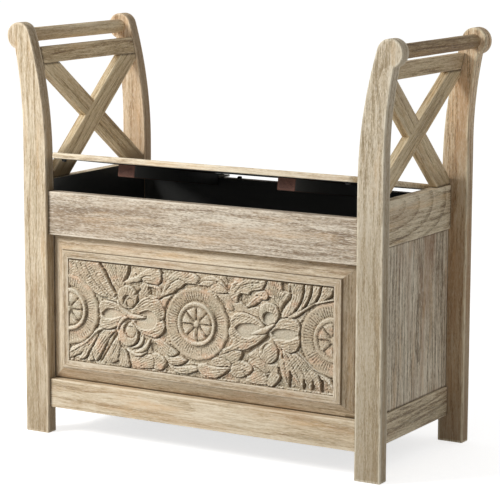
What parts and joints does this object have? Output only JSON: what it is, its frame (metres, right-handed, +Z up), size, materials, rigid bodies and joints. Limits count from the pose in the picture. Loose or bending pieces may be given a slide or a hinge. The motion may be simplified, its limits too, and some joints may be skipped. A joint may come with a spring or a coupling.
{
  "type": "storage bench",
  "caption": "Lidded storage bench with outswept scroll-headed posts, crossed side bars under round arm rails, and a carved raised front panel.",
  "frame": {"origin": "middle of the bounding box's bottom face, on the floor", "axes": "+Z up, front towards -Y, width along X"},
  "size_m": [0.807, 0.356, 0.762],
  "materials": {
    "post_wood": "limed, upright grain",
    "rail_wood": "limed, grain along the rail",
    "carved_wood": "limed over carved relief, dark in the recesses",
    "back_wood": "limed, plain board",
    "side_rail_wood": "limed, grain front to back",
    "side_panel_wood": "limed, upright grain",
    "arm_wood": "limed, grain front to back",
    "bar_rising_wood": "limed, grain along the bar",
    "bar_falling_wood": "limed, grain along the bar",
    "lid_wood": "limed top, black painted underside",
    "batten_wood": "reddish brown stain",
    "floor_paint": "black paint on board",
    "cleat_wood": "plain sawn strip",
    "hinge_steel": "plain steel leaf",
    "pin_steel": "plain steel pin",
    "screw_steel": "plain countersunk screw",
    "bumper_rubber": "soft black rubber"
  },
  "bodies": {
    "bench": {"post_front_left": "post_wood", "post_rear_left": "post_wood", "post_front_right": "post_wood", "post_rear_right": "post_wood", "front_top_rail": "rail_wood", "front_bottom_rail": "rail_wood", "back_top_rail": "rail_wood", "back_bottom_rail": "rail_wood", "front_carved_panel": "carved_wood", "back_panel": "back_wood", "side_top_rail_left": "side_rail_wood", "side_bottom_rail_left": "side_rail_wood", "side_panel_left": "side_panel_wood", "arm_dowel_left": "arm_wood", "arm_rail_left": "arm_wood", "cross_bar_rising_left": "bar_rising_wood", "cross_bar_falling_left": "bar_falling_wood", "side_top_rail_right": "side_rail_wood", "side_bottom_rail_right": "side_rail_wood", "side_panel_right": "side_panel_wood", "arm_dowel_right": "arm_wood", "arm_rail_right": "arm_wood", "cross_bar_rising_right": "bar_rising_wood", "cross_bar_falling_right": "bar_falling_wood", "floor_panel": "floor_paint", "floor_cleat_front": "cleat_wood", "floor_cleat_rear": "cleat_wood", "floor_cleat_left": "cleat_wood", "floor_cleat_right": "cleat_wood", "hinge_fixed_leaf_left": "hinge_steel", "hinge_pin_left": "pin_steel", "hinge_fixed_leaf_right": "hinge_steel", "hinge_pin_right": "pin_steel", "rail_hinge_screw_1": "screw_steel", "rail_hinge_screw_2": "screw_steel", "rail_hinge_screw_3": "screw_steel", "rail_hinge_screw_4": "screw_steel", "rail_bumper_left": "bumper_rubber", "rail_bumper_right": "bumper_rubber"},
    "lid": {"lid_board": "lid_wood", "lid_batten_left": "batten_wood", "lid_batten_right": "batten_wood", "hinge_lid_leaf_left": "hinge_steel", "hinge_lid_leaf_right": "hinge_steel", "lid_hinge_screw_1": "screw_steel", "lid_hinge_screw_2": "screw_steel", "lid_hinge_screw_3": "screw_steel", "lid_hinge_screw_4": "screw_steel", "batten_screw_1": "screw_steel", "batten_screw_2": "screw_steel", "batten_screw_3": "screw_steel", "batten_screw_4": "screw_steel", "lid_bumper_left": "bumper_rubber", "lid_bumper_right": "bumper_rubber"}
  },
  "joints": [
    {"name": "lid_hinge", "type": "hinge", "parent": "bench", "child": "lid", "pos_m": [0, 0.1745, 0.4575], "axis": [-1, 0, 0], "range_deg": [-9.3, 70.7]}
  ]
}
